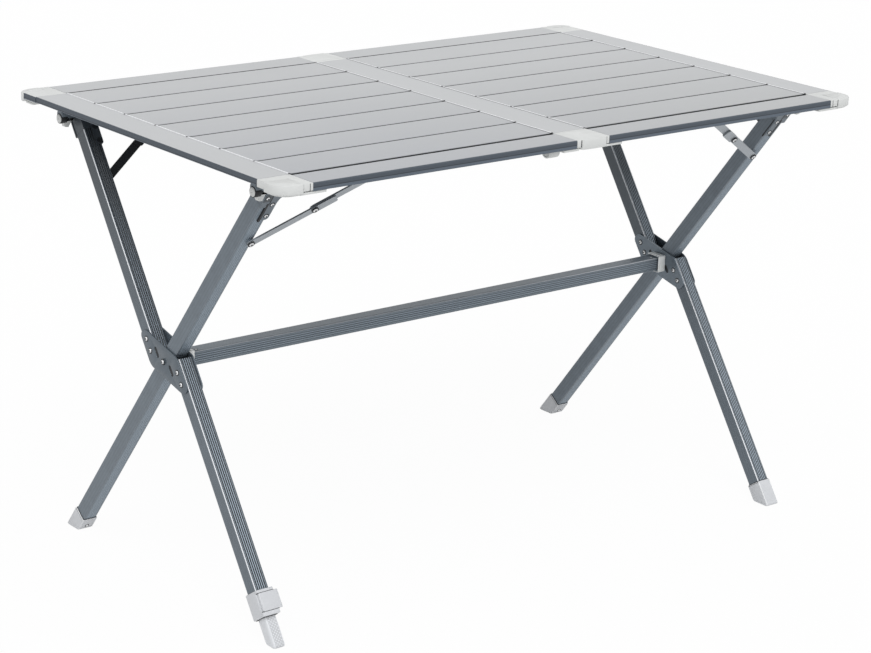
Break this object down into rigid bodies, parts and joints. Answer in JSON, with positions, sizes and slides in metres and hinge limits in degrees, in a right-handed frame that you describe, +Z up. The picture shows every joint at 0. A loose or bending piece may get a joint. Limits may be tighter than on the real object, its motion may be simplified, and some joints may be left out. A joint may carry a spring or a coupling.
{
  "type": "folding camping table",
  "caption": "Folding aluminium camping table with a slatted top on crossed folding legs, joined by a bar, one foot adjustable.",
  "frame": {"origin": "on the floor under the middle of the top", "axes": "+X along the long side, +Y to the rear, +Z up"},
  "size_m": [1.104, 0.704, 0.7],
  "materials": {
    "silver_aluminium": "satin",
    "graphite_frame": "satin",
    "pale_plastic": "matte"
  },
  "bodies": {
    "leg_base": {"split_leg_upper_left": "graphite_frame", "split_leg_upper_right": "graphite_frame", "split_leg_lower_left": "graphite_frame", "split_leg_lower_right": "graphite_frame", "plate_outer_left": "graphite_frame", "plate_outer_right": "graphite_frame", "plate_inner_left": "graphite_frame", "plate_inner_right": "graphite_frame", "bracket_rear_left": "graphite_frame", "bracket_rear_right": "graphite_frame", "foot_front_right": "pale_plastic", "foot_clamp": "pale_plastic"},
    "left_cross_leg": {"cross_leg_left": "graphite_frame", "foot_rear_left": "pale_plastic", "bracket_front_left": "graphite_frame"},
    "right_cross_leg": {"cross_leg_right": "graphite_frame", "foot_rear_right": "pale_plastic", "bracket_front_right": "graphite_frame"},
    "table_top": {"slat_left_1": "silver_aluminium", "slat_left_2": "silver_aluminium", "slat_left_3": "silver_aluminium", "slat_left_4": "silver_aluminium", "slat_left_5": "silver_aluminium", "slat_left_6": "silver_aluminium", "slat_left_7": "silver_aluminium", "slat_left_8": "silver_aluminium", "slat_left_9": "silver_aluminium", "slat_right_1": "silver_aluminium", "slat_right_2": "silver_aluminium", "slat_right_3": "silver_aluminium", "slat_right_4": "silver_aluminium", "slat_right_5": "silver_aluminium", "slat_right_6": "silver_aluminium", "slat_right_7": "silver_aluminium", "slat_right_8": "silver_aluminium", "slat_right_9": "silver_aluminium", "profile_left": "silver_aluminium", "profile_middle": "silver_aluminium", "profile_right": "silver_aluminium", "cap_front_left": "pale_plastic", "cap_rear_left": "pale_plastic", "cap_front_middle": "pale_plastic", "cap_rear_middle": "pale_plastic", "cap_front_right": "pale_plastic", "cap_rear_right": "pale_plastic"},
    "cross_bar": {"bar": "graphite_frame"},
    "extending_foot": {"foot_adjustable": "pale_plastic"},
    "clamp_lever": {"foot_lever": "pale_plastic"},
    "arm_front_left_body": {"arm_front_left": "graphite_frame"},
    "stay_upper_front_left_link": {"stay_upper_front_left": "graphite_frame"},
    "stay_lower_front_left_link": {"stay_lower_front_left": "graphite_frame"},
    "arm_rear_left_body": {"arm_rear_left": "graphite_frame"},
    "stay_upper_rear_left_link": {"stay_upper_rear_left": "graphite_frame"},
    "stay_lower_rear_left_link": {"stay_lower_rear_left": "graphite_frame"},
    "arm_front_right_body": {"arm_front_right": "graphite_frame"},
    "stay_upper_front_right_link": {"stay_upper_front_right": "graphite_frame"},
    "stay_lower_front_right_link": {"stay_lower_front_right": "graphite_frame"},
    "arm_rear_right_body": {"arm_rear_right": "graphite_frame"},
    "stay_upper_rear_right_link": {"stay_upper_rear_right": "graphite_frame"},
    "stay_lower_rear_right_link": {"stay_lower_rear_right": "graphite_frame"}
  },
  "joints": [
    {"name": "left_scissor", "type": "hinge", "parent": "leg_base", "child": "left_cross_leg", "pos_m": [-0.497, 0, 0.35504], "axis": [-1, 0, 0], "range_deg": [0, 71.5]},
    {"name": "right_scissor", "type": "hinge", "parent": "leg_base", "child": "right_cross_leg", "pos_m": [0.497, 0, 0.35504], "axis": [-1, 0, 0], "range_deg": [0, 71.5]},
    {"name": "top_lift", "type": "slide", "parent": "leg_base", "child": "table_top", "axis": [0, 0, 1], "range_m": [0, 0.5]},
    {"name": "bar_slide", "type": "slide", "parent": "leg_base", "child": "cross_bar", "axis": [0, 1, 0], "range_m": [0, 0.25]},
    {"name": "arm_fold_front_left", "type": "hinge", "parent": "left_cross_leg", "child": "arm_front_left_body", "pos_m": [-0.447, -0.25714, 0.6779], "axis": [0, 0.789, 0.6144], "range_deg": [0, 90]},
    {"name": "stay_head_front_left", "type": "hinge", "parent": "arm_front_left_body", "child": "stay_upper_front_left_link", "pos_m": [-0.326, -0.25714, 0.6779], "axis": [0, -0.789, -0.6144], "range_deg": [0, 125.9]},
    {"name": "stay_knee_front_left", "type": "hinge", "parent": "stay_upper_front_left_link", "child": "stay_lower_front_left_link", "pos_m": [-0.4085, -0.23097, 0.62477], "axis": [0, 0.789, 0.6144], "range_deg": [0, 154.8]},
    {"name": "arm_fold_rear_left", "type": "hinge", "parent": "leg_base", "child": "arm_rear_left_body", "pos_m": [-0.447, 0.25977, 0.6779], "axis": [0, 0.8231, -0.5678], "range_deg": [0, 90]},
    {"name": "stay_head_rear_left", "type": "hinge", "parent": "arm_rear_left_body", "child": "stay_upper_rear_left_link", "pos_m": [-0.326, 0.25977, 0.6779], "axis": [0, -0.8231, 0.5678], "range_deg": [0, 125.9]},
    {"name": "stay_knee_rear_left", "type": "hinge", "parent": "stay_upper_rear_left_link", "child": "stay_lower_rear_left_link", "pos_m": [-0.4085, 0.23671, 0.62334], "axis": [0, 0.8231, -0.5678], "range_deg": [0, 154.8]},
    {"name": "arm_fold_front_right", "type": "hinge", "parent": "right_cross_leg", "child": "arm_front_right_body", "pos_m": [0.447, -0.25714, 0.6779], "axis": [0, -0.789, -0.6144], "range_deg": [0, 90]},
    {"name": "stay_head_front_right", "type": "hinge", "parent": "arm_front_right_body", "child": "stay_upper_front_right_link", "pos_m": [0.326, -0.25714, 0.6779], "axis": [0, 0.789, 0.6144], "range_deg": [0, 125.9]},
    {"name": "stay_knee_front_right", "type": "hinge", "parent": "stay_upper_front_right_link", "child": "stay_lower_front_right_link", "pos_m": [0.4085, -0.23097, 0.62477], "axis": [0, -0.789, -0.6144], "range_deg": [0, 154.8]},
    {"name": "arm_fold_rear_right", "type": "hinge", "parent": "leg_base", "child": "arm_rear_right_body", "pos_m": [0.447, 0.25977, 0.6779], "axis": [0, -0.8231, 0.5678], "range_deg": [0, 90]},
    {"name": "stay_head_rear_right", "type": "hinge", "parent": "arm_rear_right_body", "child": "stay_upper_rear_right_link", "pos_m": [0.326, 0.25977, 0.6779], "axis": [0, 0.8231, -0.5678], "range_deg": [0, 125.9]},
    {"name": "stay_knee_rear_right", "type": "hinge", "parent": "stay_upper_rear_right_link", "child": "stay_lower_rear_right_link", "pos_m": [0.4085, 0.23671, 0.62334], "axis": [0, -0.8231, 0.5678], "range_deg": [0, 154.8]},
    {"name": "foot_extend", "type": "slide", "parent": "leg_base", "child": "extending_foot", "axis": [0, -0.5678, -0.8231], "range_m": [0, 0.05]},
    {"name": "foot_lever_flip", "type": "hinge", "parent": "leg_base", "child": "clamp_lever", "pos_m": [-0.5083, -0.25382, 0.06265], "axis": [0, -0.5678, -0.8231], "range_deg": [0, 90]}
  ],
  "couplings": [
    {"joint": "right_scissor", "follows": "left_scissor", "ratio": 1},
    {"joint": "top_lift", "follows": "left_scissor", "m_per_rad": 0.4},
    {"joint": "bar_slide", "follows": "left_scissor", "m_per_rad": 0.2},
    {"joint": "arm_fold_front_left", "follows": "left_scissor", "ratio": 1.2586},
    {"joint": "stay_head_front_left", "follows": "left_scissor", "ratio": 1.7585},
    {"joint": "stay_knee_front_left", "follows": "left_scissor", "ratio": 2.1627},
    {"joint": "arm_fold_rear_left", "follows": "left_scissor", "ratio": 1.2586},
    {"joint": "stay_head_rear_left", "follows": "left_scissor", "ratio": 1.7585},
    {"joint": "stay_knee_rear_left", "follows": "left_scissor", "ratio": 2.1627},
    {"joint": "arm_fold_front_right", "follows": "left_scissor", "ratio": 1.2586},
    {"joint": "stay_head_front_right", "follows": "left_scissor", "ratio": 1.7585},
    {"joint": "stay_knee_front_right", "follows": "left_scissor", "ratio": 2.1627},
    {"joint": "arm_fold_rear_right", "follows": "left_scissor", "ratio": 1.2586},
    {"joint": "stay_head_rear_right", "follows": "left_scissor", "ratio": 1.7585},
    {"joint": "stay_knee_rear_right", "follows": "left_scissor", "ratio": 2.1627}
  ]
}
